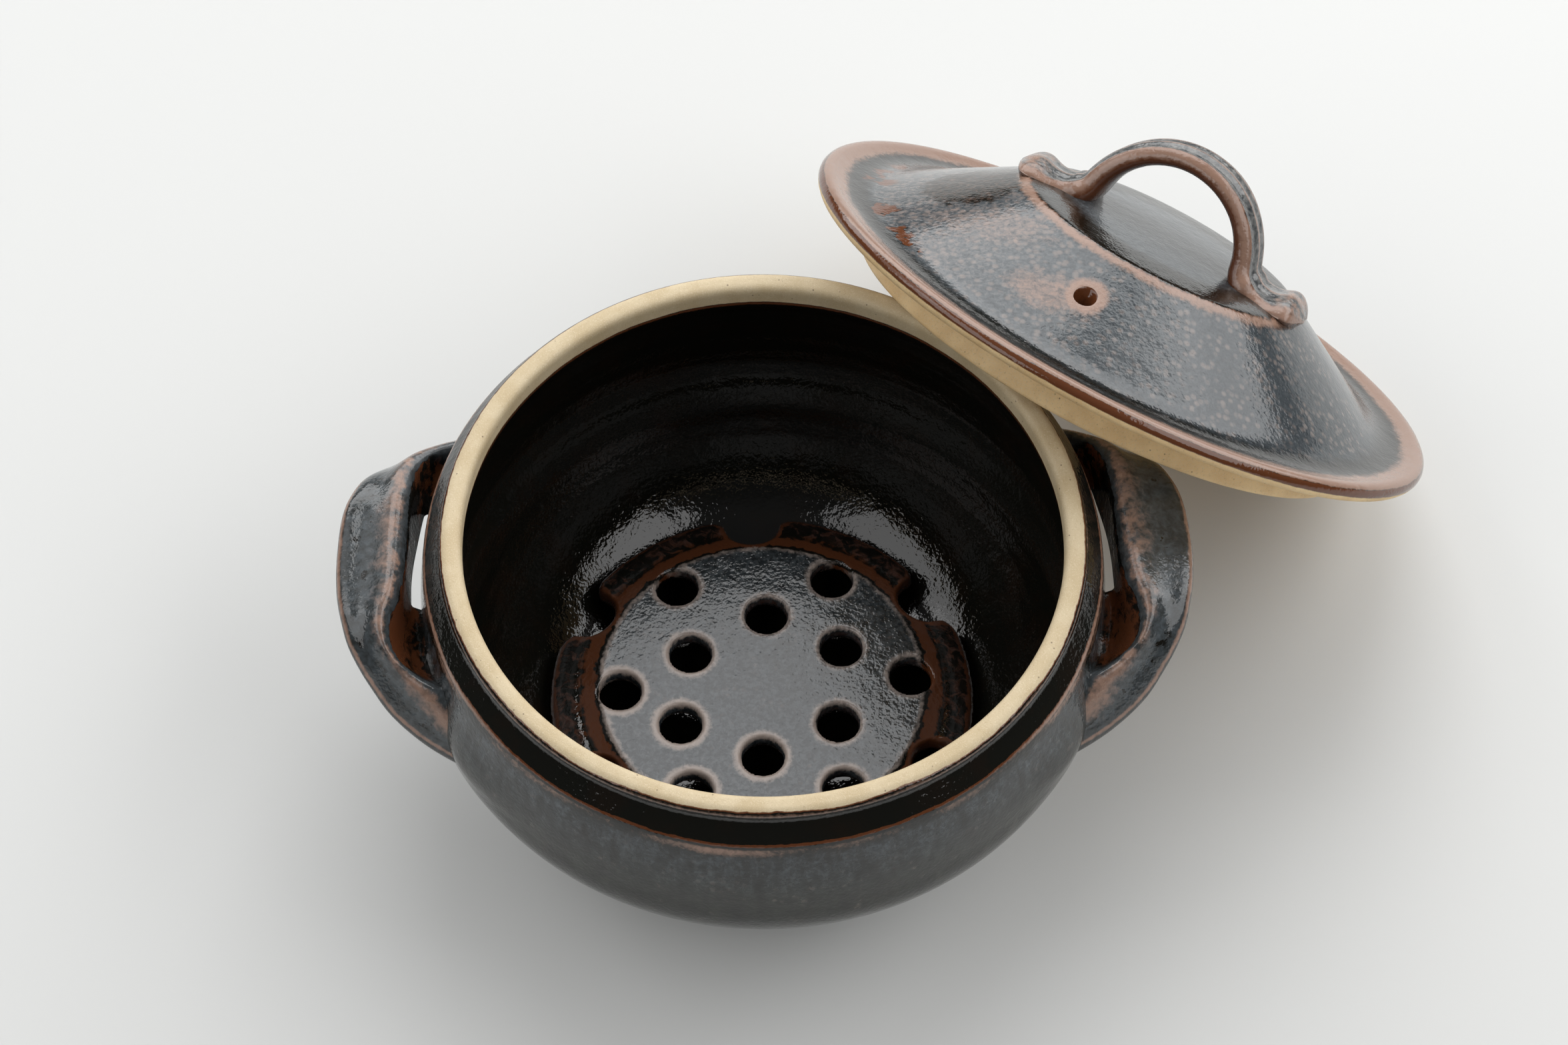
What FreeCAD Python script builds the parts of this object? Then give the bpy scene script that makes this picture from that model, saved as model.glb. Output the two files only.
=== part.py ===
import FreeCAD, Part
import math
import os

import Sketcher

# Ceramic steamer: a round-bellied stoneware pot with two ear handles, a loose
# perforated steaming plate standing low inside it, and a loose domed lid with a
# pulled strap handle. The lid leans on the pot's rim with its low edge on the
# table. Millimetres, +Z up, origin on the table at the centre of the pot's foot.

doc = FreeCAD.newDocument("ceramic_steamer")

# Driving dimensions

SIZES = [
    # Pot, outside
    ("rim_height", 114.0),
    ("rim_outer_radius", 100.0),
    ("rim_inner_radius", 93.0),
    ("rim_outer_round", 2.5),
    ("rim_inner_round", 2.0),
    ("collar_height", 109.5),
    ("ridge_radius", 105.5),
    ("ridge_height", 103.0),
    ("shoulder_arc", 165.0),
    ("belly_radius", 108.8),
    ("belly_height", 70.0),
    ("belly_arc", 26.0),
    ("flank_radius", 102.4),
    ("flank_height", 48.0),
    ("heel_radius", 78.0),
    ("heel_height", 8.9),
    ("heel_arc", 20.0),
    ("foot_radius", 62.0),
    # Pot, inside
    ("wall", 6.6),
    ("floor_thickness", 7.5),
    ("lip_foot_height", 105.0),
    ("inner_shoulder_arc", 70.0),
    ("inner_belly_arc", 24.0),
    ("inner_flank_radius", 96.6),
    ("inner_flank_height", 51.0),
    ("inner_heel_radius", 74.2),
    ("inner_heel_height", 15.5),
    ("inner_heel_arc", 18.0),
    ("inner_floor_radius", 59.9),
    # Ear handles, sections across the band at stations along it
    ("ear_crest_round", 7.0),
    ("ear_crest_drop", 4.5),
    ("ear_edge_round", 3.4),
    ("ear_edge_half", 3.0),
    ("ear_edge_run", 2.0),
    ("ear_mid_inner", 112.0),
    ("ear_mid_low", 88.0),
    ("ear_mid_crest", 117.5),
    ("ear_mid_crest_height", 104.0),
    ("ear_mid_edge", 133.2),
    ("ear_mid_edge_height", 96.5),
    ("ear_near_station", 22.0),
    ("ear_near_inner", 110.0),
    ("ear_near_low", 87.0),
    ("ear_near_crest", 116.3),
    ("ear_near_crest_height", 103.3),
    ("ear_near_edge", 130.7),
    ("ear_near_edge_height", 95.5),
    ("ear_bend_station", 34.0),
    ("ear_bend_inner", 103.6),
    ("ear_bend_low", 82.0),
    ("ear_bend_crest", 112.0),
    ("ear_bend_crest_height", 99.0),
    ("ear_bend_edge", 126.0),
    ("ear_bend_edge_height", 89.5),
    ("ear_turn_station", 43.0),
    ("ear_turn_inner", 97.0),
    ("ear_turn_low", 75.0),
    ("ear_turn_crest", 106.0),
    ("ear_turn_crest_height", 91.0),
    ("ear_turn_edge", 118.5),
    ("ear_turn_edge_height", 80.5),
    ("ear_root_station", 52.0),
    ("ear_root_inner", 90.0),
    ("ear_root_low", 67.0),
    ("ear_root_crest", 98.0),
    ("ear_root_crest_height", 83.0),
    ("ear_root_edge", 106.0),
    ("ear_root_edge_height", 74.5),
    ("ear_end_station", 64.0),
    ("ear_end_inner", 74.0),
    ("ear_end_low", 64.0),
    ("ear_end_crest", 80.0),
    ("ear_end_crest_height", 77.0),
    ("ear_end_edge", 84.0),
    ("ear_end_edge_height", 70.0),
    ("ear_left_turn", 180.0),
    ("ear_right_turn", 5.0),
    # Steaming plate
    ("plate_height", 17.6),
    ("plate_turn", 4.0),
    ("plate_thickness", 6.0),
    ("plate_flat_radius", 52.5),
    ("plate_shoulder_arc", 14.0),
    ("plate_shoulder_radius", 60.0),
    ("plate_shoulder_level", 3.2),
    ("plate_edge_radius", 69.8),
    ("plate_edge_level", 1.4),
    ("plate_heel_radius", 68.9),
    ("plate_heel_level", 6.9),
    ("plate_under_radius", 57.0),
    ("plate_under_level", 1.6),
    ("plate_under_flat", 49.0),
    ("plate_under_arc", 24.0),
    ("notch_reach", 82.0),
    ("notch_mouth", 13.6),
    ("notch_mouth_radius", 70.0),
    ("notch_corner_arc", 7.0),
    ("notch_half_width", 8.2),
    ("notch_throat_radius", 61.6),
    ("notch_arc", 8.7),
    ("steam_bore", 13.4),
    ("bore_one_x", -26.2),
    ("bore_one_y", 38.8),
    ("bore_two_x", 25.3),
    ("bore_two_y", 39.3),
    ("bore_three_x", 2.8),
    ("bore_three_y", 26.3),
    ("bore_four_x", -22.9),
    ("bore_four_y", 12.7),
    ("bore_five_x", 26.7),
    ("bore_five_y", 12.5),
    ("bore_six_x", -46.5),
    ("bore_six_y", -0.4),
    ("bore_seven_x", 48.8),
    ("bore_seven_y", 0.5),
    ("bore_eight_x", -27.2),
    ("bore_eight_y", -14.0),
    ("bore_nine_x", 23.9),
    ("bore_nine_y", -16.0),
    ("bore_ten_x", -1.2),
    ("bore_ten_y", -27.4),
    ("bore_eleven_x", -24.9),
    ("bore_eleven_y", -39.3),
    ("bore_twelve_x", 24.3),
    ("bore_twelve_y", -40.6),
    # Lid, heights measured from the level of the brim's edge
    ("lid_x", 117.8),
    ("lid_y", 113.8),
    ("lid_z", 76.2),
    ("lid_tilt", 41.6),
    ("lid_tilt_bearing", 51.18),
    ("lid_turn", 151.6),
    ("lid_crown", 30.0),
    ("lid_shoulder_radius", 47.5),
    ("lid_shoulder_height", 28.2),
    ("lid_shoulder_arc", 4.3),
    ("lid_slope_top_radius", 49.4),
    ("lid_slope_top_height", 27.6),
    ("lid_slope_foot_radius", 88.5),
    ("lid_slope_foot_height", 3.6),
    ("lid_valley_arc", 22.0),
    ("brim_crest_radius", 107.5),
    ("brim_crest_height", 2.4),
    ("brim_radius", 112.0),
    ("brim_roll", 3.3),
    ("brim_under_radius", 110.4),
    ("brim_under_drop", 3.2),
    ("seat_drop", 7.4),
    ("ring_outer_radius", 90.0),
    ("ring_inner_radius", 84.6),
    ("ring_drop", 15.8),
    ("ring_round", 1.2),
    ("lid_wall_top_drop", 1.6),
    ("lid_hollow_radius", 45.0),
    ("lid_hollow_height", 21.6),
    ("lid_hollow_crown", 23.4),
    ("steam_hole_bore", 7.0),
    ("steam_hole_reach", 67.3),
    ("steam_hole_side", 3.5),
    # Strap handle on the lid
    ("strap_width", 24.0),
    ("strap_thickness", 7.6),
    ("strap_arch", 28.6),
    ("strap_arch_height", 28.3),
    ("strap_bend", 9.0),
    ("strap_pad_height", 28.0),
    ("strap_pad_reach", 52.0),
]

sheet = doc.addObject("Spreadsheet::Sheet", "Sizes")
sheet.set("A1", "dimension")
sheet.set("B1", "value")
for row, (alias, number) in enumerate(SIZES, start=2):
    sheet.set(f"A{row}", alias)
    sheet.set(f"B{row}", str(number))
    sheet.setAlias(f"B{row}", alias)
doc.recompute()


# Sums of named sizes

def amount(text):
    """Value of a sum of named sizes, such as "belly_radius - wall"."""
    total = 0.0
    sign = 1.0
    for word in text.split():
        if word == "+":
            sign = 1.0
        elif word == "-":
            sign = -1.0
        else:
            total += sign * float(sheet.get(word))
            sign = 1.0
    return total


def formula(text):
    """The same sum as an expression on the sheet's cells."""
    words = []
    for word in text.split():
        words.append(word if word in "+-" else "Sizes." + word)
    return " ".join(words)


# Sketching

def new_body(label):
    body = doc.addObject("PartDesign::Body", label + "_body")
    body.Label = label
    return body


def origin_feature(body, role):
    for feature in body.Origin.OriginFeatures:
        if feature.Role == role:
            return feature
    raise ValueError(role)


def new_sketch(body, name, role, offset=None):
    """A sketch on one of the body's origin planes, moved along its normal by a named size."""
    sketch = body.newObject("Sketcher::SketchObject", name)
    sketch.AttachmentSupport = [(origin_feature(body, role), "")]
    sketch.MapMode = "FlatFace"
    if offset is not None:
        sketch.AttachmentOffset = FreeCAD.Placement(FreeCAD.Vector(0, 0, amount(offset)), FreeCAD.Rotation())
        sketch.setExpression("AttachmentOffset.Base.z", formula(offset))
    return sketch


def arc_between(start, end, radius, left):
    """Circle arc through two points. left=True puts its centre left of the way from start to end."""
    middle = (start + end) * 0.5
    half = (end - start).Length * 0.5
    along = (end - start).normalize()
    side = FreeCAD.Vector(-along.y, along.x, 0) * (1 if left else -1)
    centre = middle + side * math.sqrt(max(radius * radius - half * half, 0.0))
    first, last = (start, end) if left else (end, start)
    angle_first = math.atan2(first.y - centre.y, first.x - centre.x)
    angle_last = math.atan2(last.y - centre.y, last.x - centre.x)
    circle = Part.Circle(centre, FreeCAD.Vector(0, 0, 1), radius)
    return Part.ArcOfCircle(circle, angle_first, angle_last)


def pin(sketch, geometry, end, across, up):
    """Ties a sketch point to the sums of named sizes that give its two coordinates."""
    if across is None:
        sketch.addConstraint(Sketcher.Constraint("PointOnObject", geometry, end, -2))
    else:
        index = sketch.addConstraint(
            Sketcher.Constraint("DistanceX", -1, 1, geometry, end, amount(across)))
        sketch.setExpression(f"Constraints[{index}]", formula(across))
    if up is None:
        sketch.addConstraint(Sketcher.Constraint("PointOnObject", geometry, end, -1))
    else:
        index = sketch.addConstraint(
            Sketcher.Constraint("DistanceY", -1, 1, geometry, end, amount(up)))
        sketch.setExpression(f"Constraints[{index}]", formula(up))


def outline(sketch, corners, closed=True):
    """Draws lines and arcs from corner to corner.

    A corner is (across, up) or (across, up, arc radius, side), where the arc leads on from
    this corner and side says where its centre lies. The radius "axis" stands for an arc
    centred on the upright axis, and None for a coordinate of zero.
    """
    places = []
    for corner in corners:
        across = 0.0 if corner[0] is None else amount(corner[0])
        up = 0.0 if corner[1] is None else amount(corner[1])
        places.append(FreeCAD.Vector(across, up, 0))
    count = len(corners) if closed else len(corners) - 1
    starts = []
    ends = []
    for index in range(count):
        start = places[index]
        end = places[(index + 1) % len(corners)]
        if len(corners[index]) == 4:
            left = corners[index][3] == "left"
            if corners[index][2] == "axis":
                reach = max(start.x, end.x)
                fall = abs(end.y - start.y)
                radius = (reach * reach + fall * fall) / (2 * fall)
            else:
                radius = amount(corners[index][2])
            geometry = sketch.addGeometry(arc_between(start, end, radius, left), False)
            if corners[index][2] == "axis":
                sketch.addConstraint(Sketcher.Constraint("PointOnObject", geometry, 3, -2))
            else:
                size = sketch.addConstraint(Sketcher.Constraint("Radius", geometry, radius))
                sketch.setExpression(f"Constraints[{size}]", formula(corners[index][2]))
            starts.append((geometry, 1 if left else 2))
            ends.append((geometry, 2 if left else 1))
        else:
            geometry = sketch.addGeometry(Part.LineSegment(start, end), False)
            starts.append((geometry, 1))
            ends.append((geometry, 2))
    for index in range(count if closed else count - 1):
        here = ends[index]
        following = starts[(index + 1) % count]
        sketch.addConstraint(Sketcher.Constraint("Coincident", *here, *following))
    for index in range(count):
        pin(sketch, *starts[index], corners[index][0], corners[index][1])
    if not closed:
        pin(sketch, *ends[-1], corners[-1][0], corners[-1][1])


def revolve(body, sketch, name):
    feature = body.newObject("PartDesign::Revolution", name)
    feature.Profile = sketch
    feature.ReferenceAxis = (sketch, ["V_Axis"])
    feature.Angle = 360.0
    sketch.Visibility = False
    return feature


def hole_row(body, name, sketch):
    """Cuts a sketch's closed curves right through, both ways from its plane."""
    cut = body.newObject("PartDesign::Pocket", name)
    cut.Profile = sketch
    cut.Type = "ThroughAll"
    cut.Midplane = True
    return cut


def ring_of(body, name, feature, count):
    """Repeats a cut about the body's own upright axis."""
    pattern = body.newObject("PartDesign::PolarPattern", name)
    pattern.Originals = [feature]
    pattern.Axis = (origin_feature(body, "Z_Axis"), [""])
    pattern.Angle = 360.0
    pattern.Occurrences = count
    body.Tip = pattern
    return pattern


# Pot: one thrown wall from the flat foot up over the belly to the unglazed rim

OUTER_WALL = [
    ("foot_radius", None, "heel_arc", "left"),
    ("heel_radius", "heel_height"),
    ("flank_radius", "flank_height", "belly_arc", "left"),
    ("belly_radius", "belly_height", "shoulder_arc", "left"),
    ("ridge_radius", "ridge_height"),
    ("rim_outer_radius", "collar_height"),
    ("rim_outer_radius", "rim_height - rim_outer_round", "rim_outer_round", "left"),
    ("rim_outer_radius - rim_outer_round", "rim_height"),
]
INNER_WALL = [
    ("rim_inner_radius + rim_inner_round", "rim_height", "rim_inner_round", "left"),
    ("rim_inner_radius", "rim_height - rim_inner_round"),
    ("rim_inner_radius", "lip_foot_height", "inner_shoulder_arc", "right"),
    ("belly_radius - wall", "belly_height", "inner_belly_arc", "right"),
    ("inner_flank_radius", "inner_flank_height"),
    ("inner_heel_radius", "inner_heel_height", "inner_heel_arc", "right"),
    ("inner_floor_radius", "floor_thickness"),
]

pot = new_body("pot_body")
pot_profile = new_sketch(pot, "pot_profile", "XZ_Plane")
outline(pot_profile, [(None, None)] + OUTER_WALL + INNER_WALL + [(None, "floor_thickness")])
revolve(pot, pot_profile, "pot_wall")

# The pot filled solid: what the ear handles are trimmed against
pot_filled = new_body("pot_filled")
filled_profile = new_sketch(pot_filled, "filled_profile", "XZ_Plane")
outline(filled_profile, [(None, None)] + OUTER_WALL + [(None, "rim_height")])
revolve(pot_filled, filled_profile, "pot_mass")


# Ear handles: a band that leaves the belly, stands off it and droops towards its outer edge.
# Sections across it at stations along Y are lofted and the loft is trimmed to the belly.

EAR_STATIONS = ["end", "root", "turn", "bend", "near", "mid", "near", "bend", "turn", "root", "end"]


def band_section(sketch, station):
    """Upright inner face, rounded crest, top slope, rounded outer edge, sloping underside."""
    ear = f"ear_{station}_"
    outline(sketch, [
        (ear + "inner", ear + "low"),
        (ear + "inner", ear + "crest_height - ear_crest_drop", "ear_crest_round", "right"),
        (ear + "crest", ear + "crest_height"),
        (ear + "edge - ear_edge_run", ear + "edge_height + ear_edge_half", "ear_edge_round", "right"),
        (ear + "edge - ear_edge_run", ear + "edge_height - ear_edge_half"),
    ])


def ear_band(label):
    body = new_body(label + "_band")
    sections = []
    for index, station in enumerate(EAR_STATIONS):
        offset = None
        if station != "mid":
            sign = "- " if index < len(EAR_STATIONS) // 2 else ""
            offset = f"{sign}ear_{station}_station"
        sketch = new_sketch(body, f"{label}_section_{index}", "XZ_Plane", offset)
        band_section(sketch, station)
        sections.append(sketch)
    loft = body.newObject("PartDesign::AdditiveLoft", label + "_loft")
    loft.Profile = sections[0]
    loft.Sections = sections[1:]
    loft.Ruled = False
    return body


def trimmed(label, base, tool):
    """What is left of one solid outside another, as the sub-part that carries the label."""
    cut = doc.addObject("Part::Cut", label + "_trim")
    cut.Base = base
    cut.Tool = tool
    cut.Label = label
    return cut


right_band = ear_band("right_ear")
left_band = ear_band("left_ear")
right_ear = trimmed("right_lug_handle", right_band, pot_filled)
left_ear = trimmed("left_lug_handle", left_band, pot_filled)
for ear, turn in ((right_ear, "ear_right_turn"), (left_ear, "ear_left_turn")):
    ear.Placement = FreeCAD.Placement(
        FreeCAD.Vector(0, 0, 0), FreeCAD.Rotation(FreeCAD.Vector(0, 0, 1), amount(turn)))
    ear.setExpression("Placement.Rotation.Angle", f"Sizes.{turn}")


# Steaming plate: a flat disc with a sloping flange, notched into six lobes, and twelve bores

plate = new_body("steamer_plate")
plate_profile = new_sketch(plate, "plate_profile", "XZ_Plane")
outline(plate_profile, [
    (None, None),
    ("plate_under_flat", None, "plate_under_arc", "right"),
    ("plate_under_radius", "- plate_under_level"),
    ("plate_heel_radius", "- plate_heel_level"),
    ("plate_edge_radius", "- plate_edge_level"),
    ("plate_shoulder_radius", "plate_shoulder_level", "plate_shoulder_arc", "left"),
    ("plate_flat_radius", "plate_thickness"),
    (None, "plate_thickness"),
])
revolve(plate, plate_profile, "plate_disc")
doc.recompute()

notch_sketch = new_sketch(plate, "notch_outline", "XY_Plane")
outline(notch_sketch, [
    ("- notch_mouth", "notch_reach"),
    ("- notch_mouth", "notch_mouth_radius", "notch_corner_arc", "right"),
    ("- notch_half_width", "notch_throat_radius", "notch_arc", "left"),
    ("notch_half_width", "notch_throat_radius", "notch_corner_arc", "right"),
    ("notch_mouth", "notch_mouth_radius"),
    ("notch_mouth", "notch_reach"),
])
notch = hole_row(plate, "notch", notch_sketch)
notches = ring_of(plate, "notches", notch, 6)

# The twelve steam bores were cut by hand, so each has its own place
BORES = ["one", "two", "three", "four", "five", "six",
         "seven", "eight", "nine", "ten", "eleven", "twelve"]
bore_sketch = new_sketch(plate, "bore_outlines", "XY_Plane")
for number in BORES:
    centre = FreeCAD.Vector(amount(f"bore_{number}_x"), amount(f"bore_{number}_y"), 0)
    circle = bore_sketch.addGeometry(
        Part.Circle(centre, FreeCAD.Vector(0, 0, 1), amount("steam_bore") / 2))
    size = bore_sketch.addConstraint(Sketcher.Constraint("Diameter", circle, amount("steam_bore")))
    bore_sketch.setExpression(f"Constraints[{size}]", "Sizes.steam_bore")
    pin(bore_sketch, circle, 3, f"bore_{number}_x", f"bore_{number}_y")
hole_row(plate, "steam_bores", bore_sketch)
plate.Placement = FreeCAD.Placement(
    FreeCAD.Vector(0, 0, amount("plate_height")),
    FreeCAD.Rotation(FreeCAD.Vector(0, 0, 1), amount("plate_turn")))
plate.setExpression("Placement.Base.z", "Sizes.plate_height")
plate.setExpression("Placement.Rotation.Angle", "Sizes.plate_turn")


# Lid: domed shell with an upturned brim and a seating ring, in its own upright frame

LID_TOP = [
    ("brim_under_radius", "- brim_under_drop", "brim_roll", "left"),
    ("brim_radius", None, "brim_roll", "left"),
    ("brim_crest_radius", "brim_crest_height", "lid_valley_arc", "right"),
    ("lid_slope_foot_radius", "lid_slope_foot_height"),
    ("lid_slope_top_radius", "lid_slope_top_height", "lid_shoulder_arc", "left"),
    ("lid_shoulder_radius", "lid_shoulder_height", "axis", "left"),
    (None, "lid_crown"),
]

lid = new_body("lid_dome")
lid_profile = new_sketch(lid, "lid_profile", "XZ_Plane")
outline(lid_profile, [
    (None, "lid_hollow_crown", "axis", "right"),
    ("lid_hollow_radius", "lid_hollow_height"),
    ("ring_inner_radius", "- lid_wall_top_drop"),
    ("ring_inner_radius", "ring_round - ring_drop", "ring_round", "left"),
    ("ring_inner_radius + ring_round", "- ring_drop"),
    ("ring_outer_radius - ring_round", "- ring_drop", "ring_round", "left"),
    ("ring_outer_radius", "ring_round - ring_drop"),
    ("ring_outer_radius", "- seat_drop"),
] + LID_TOP)
revolve(lid, lid_profile, "lid_shell")
doc.recompute()

steam_sketch = new_sketch(lid, "steam_hole_outline", "XY_Plane")
steam_circle = steam_sketch.addGeometry(Part.Circle(
    FreeCAD.Vector(amount("steam_hole_side"), amount("steam_hole_reach"), 0),
    FreeCAD.Vector(0, 0, 1), amount("steam_hole_bore") / 2))
steam_size = steam_sketch.addConstraint(
    Sketcher.Constraint("Diameter", steam_circle, amount("steam_hole_bore")))
steam_sketch.setExpression(f"Constraints[{steam_size}]", "Sizes.steam_hole_bore")
pin(steam_sketch, steam_circle, 3, "steam_hole_side", "steam_hole_reach")
hole_row(lid, "steam_hole", steam_sketch)

# The lid's top filled solid: what the strap handle is trimmed against
lid_filled = new_body("lid_filled")
lid_filled_profile = new_sketch(lid_filled, "lid_filled_profile", "XZ_Plane")
outline(lid_filled_profile, [(None, "- brim_under_drop")] + LID_TOP)
revolve(lid_filled, lid_filled_profile, "lid_mass")


# Strap handle: an oval bar that rises from its two pressed-down ends into a round arch

def strap_path(sketch):
    """Half of the path and its mirror: pad, reverse bend, arch, reverse bend, pad."""
    arch = amount("strap_arch")
    bend = amount("strap_bend")
    arch_centre = FreeCAD.Vector(0, amount("strap_arch_height"), 0)
    pad_height = amount("strap_pad_height")
    bend_up = pad_height + bend - arch_centre.y
    bend_across = math.sqrt((arch + bend) ** 2 - bend_up ** 2)
    meeting = FreeCAD.Vector(bend_across, bend_up, 0) * (arch / (arch + bend))
    points = [
        FreeCAD.Vector(-amount("strap_pad_reach"), pad_height, 0),
        FreeCAD.Vector(-bend_across, pad_height, 0),
        FreeCAD.Vector(-meeting.x, arch_centre.y + meeting.y, 0),
        FreeCAD.Vector(meeting.x, arch_centre.y + meeting.y, 0),
        FreeCAD.Vector(bend_across, pad_height, 0),
        FreeCAD.Vector(amount("strap_pad_reach"), pad_height, 0),
    ]
    left_pad = sketch.addGeometry(Part.LineSegment(points[0], points[1]), False)
    left_bend = sketch.addGeometry(arc_between(points[1], points[2], bend, True), False)
    top_of_arch = arch_centre + FreeCAD.Vector(0, arch, 0)
    over = sketch.addGeometry(Part.Arc(points[3], top_of_arch, points[2]), False)
    right_bend = sketch.addGeometry(arc_between(points[3], points[4], bend, True), False)
    right_pad = sketch.addGeometry(Part.LineSegment(points[4], points[5]), False)
    add = sketch.addConstraint
    add(Sketcher.Constraint("Tangent", left_pad, 2, left_bend, 1))
    add(Sketcher.Constraint("Tangent", left_bend, 2, over, 2))
    add(Sketcher.Constraint("Tangent", over, 1, right_bend, 1))
    add(Sketcher.Constraint("Tangent", right_bend, 2, right_pad, 1))
    for curve, size in ((left_bend, "strap_bend"), (right_bend, "strap_bend"), (over, "strap_arch")):
        index = add(Sketcher.Constraint("Radius", curve, amount(size)))
        sketch.setExpression(f"Constraints[{index}]", f"Sizes.{size}")
    pin(sketch, left_pad, 1, "- strap_pad_reach", "strap_pad_height")
    pin(sketch, right_pad, 2, "strap_pad_reach", "strap_pad_height")
    pin(sketch, over, 3, None, "strap_arch_height")


strap_bar = new_body("strap_bar")
strap_route = new_sketch(strap_bar, "strap_route", "XZ_Plane")
strap_path(strap_route)
strap_section = new_sketch(strap_bar, "strap_section", "YZ_Plane", "- strap_pad_reach")
section_centre = FreeCAD.Vector(0, amount("strap_pad_height"), 0)
half_width = amount("strap_width") / 2
half_thickness = amount("strap_thickness") / 2
oval = Part.Ellipse(
    section_centre + FreeCAD.Vector(half_width, 0, 0),
    section_centre + FreeCAD.Vector(0, half_thickness, 0),
    section_centre)
ellipse = strap_section.addGeometry(oval, False)
strap_section.exposeInternalGeometry(ellipse)
pin(strap_section, ellipse, 3, None, "strap_pad_height")
strap_section.addConstraint(Sketcher.Constraint("Horizontal", ellipse + 1))
long_axis = strap_section.addConstraint(Sketcher.Constraint("Distance", ellipse + 1, 2 * half_width))
strap_section.setExpression(f"Constraints[{long_axis}]", "Sizes.strap_width")
short_axis = strap_section.addConstraint(Sketcher.Constraint("Distance", ellipse + 2, 2 * half_thickness))
strap_section.setExpression(f"Constraints[{short_axis}]", "Sizes.strap_thickness")
bar = strap_bar.newObject("PartDesign::AdditivePipe", "strap_sweep")
bar.Profile = strap_section
bar.Spine = strap_route
strap = trimmed("lid_strap_handle", strap_bar, lid_filled)

# The lid's lean: turned about its own axis, then tilted towards its bearing
bearing = math.radians(amount("lid_tilt_bearing"))
tilt_axis = FreeCAD.Vector(-math.sin(bearing), math.cos(bearing), 0)
lean = FreeCAD.Rotation(tilt_axis, amount("lid_tilt")).multiply(
    FreeCAD.Rotation(FreeCAD.Vector(0, 0, 1), amount("lid_turn")))
lid_place = FreeCAD.Placement(
    FreeCAD.Vector(amount("lid_x"), amount("lid_y"), amount("lid_z")), lean)
for piece in (lid, strap):
    piece.Placement = lid_place
    for letter in "xyz":
        piece.setExpression(f"Placement.Base.{letter}", f"Sizes.lid_{letter}")

# Build, check and write

doc.recompute()

for item in doc.Objects:
    if "Invalid" in item.State or "Error" in item.State:
        raise RuntimeError(f"{item.Label} failed: {item.State}")

os.makedirs("parts", exist_ok=True)
for piece in (pot, left_ear, right_ear, plate, lid, strap):
    shape = piece.Shape
    if shape.isNull() or not shape.isValid() or len(shape.Solids) != 1:
        raise RuntimeError(f"{piece.Label} is not one sound solid")
    shape.exportStep(f"parts/{piece.Label}.step")
    box = shape.BoundBox
    print(f"{piece.Label}: volume {shape.Volume / 1000:.1f} cm3, "
          f"x {box.XMin:.1f}..{box.XMax:.1f}, y {box.YMin:.1f}..{box.YMax:.1f}, "
          f"z {box.ZMin:.1f}..{box.ZMax:.1f}")
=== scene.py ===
import bpy
import math

import numpy as np
from mathutils import Matrix


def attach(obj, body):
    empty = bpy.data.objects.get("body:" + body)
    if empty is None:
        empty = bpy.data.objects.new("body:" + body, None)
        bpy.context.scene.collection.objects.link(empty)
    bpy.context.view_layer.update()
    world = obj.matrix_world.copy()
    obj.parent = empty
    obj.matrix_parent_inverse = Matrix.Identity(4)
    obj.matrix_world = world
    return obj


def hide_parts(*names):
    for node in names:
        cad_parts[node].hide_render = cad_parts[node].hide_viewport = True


# Ceramic steamer: an iron-glazed stoneware pot with a bare clay rim, two ear
# handles, a perforated plate low inside it and a domed lid with a strap handle.
# The mesh functions work in millimetres; a piece's mesh is stored in metres.

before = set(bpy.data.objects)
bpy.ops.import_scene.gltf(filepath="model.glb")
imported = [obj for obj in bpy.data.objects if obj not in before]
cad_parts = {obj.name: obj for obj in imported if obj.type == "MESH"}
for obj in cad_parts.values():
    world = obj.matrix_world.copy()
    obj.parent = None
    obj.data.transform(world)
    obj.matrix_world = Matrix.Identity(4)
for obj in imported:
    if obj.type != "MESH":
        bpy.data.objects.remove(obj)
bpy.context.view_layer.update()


# Profiles

def arc_points(start, end, radius, left, step):
    """Points on the circle arc from start to end, its centre left or right of the way."""
    start, end = np.array(start, float), np.array(end, float)
    half = np.linalg.norm(end - start) / 2
    along = (end - start) / (2 * half)
    side = np.array([-along[1], along[0]]) * (1 if left else -1)
    centre = (start + end) / 2 + side * math.sqrt(max(radius * radius - half * half, 0.0))
    turn = 2 * math.asin(min(half / radius, 1.0)) * (1 if left else -1)
    first = math.atan2(start[1] - centre[1], start[0] - centre[0])
    count = max(int(abs(turn) * radius / step), 3)
    angle = first + turn * np.linspace(0, 1, count, endpoint=False)
    return centre + radius * np.stack([np.cos(angle), np.sin(angle)], 1)


def profile(corners, step=1.5):
    """Half section from corner to corner. A corner is (r, z) or (r, z, arc radius, side)."""
    runs = []
    for here, there in zip(corners[:-1], corners[1:]):
        if len(here) == 4:
            runs.append(arc_points(here[:2], there[:2], here[2], here[3] == "left", step))
        else:
            length = math.dist(here, there[:2])
            share = np.linspace(0, 1, max(int(length / step), 2), endpoint=False)[:, None]
            runs.append(np.array(here[:2]) * (1 - share) + np.array(there[:2]) * share)
    runs.append(np.array([corners[-1][:2]], float))
    return np.concatenate(runs)


def softened(points, passes):
    """The same line with its corners eased, as glaze eases them; its two ends stay."""
    points = points.copy()
    for _ in range(passes):
        points[1:-1] = points[1:-1] / 2 + (points[:-2] + points[2:]) / 4
    return points


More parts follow.
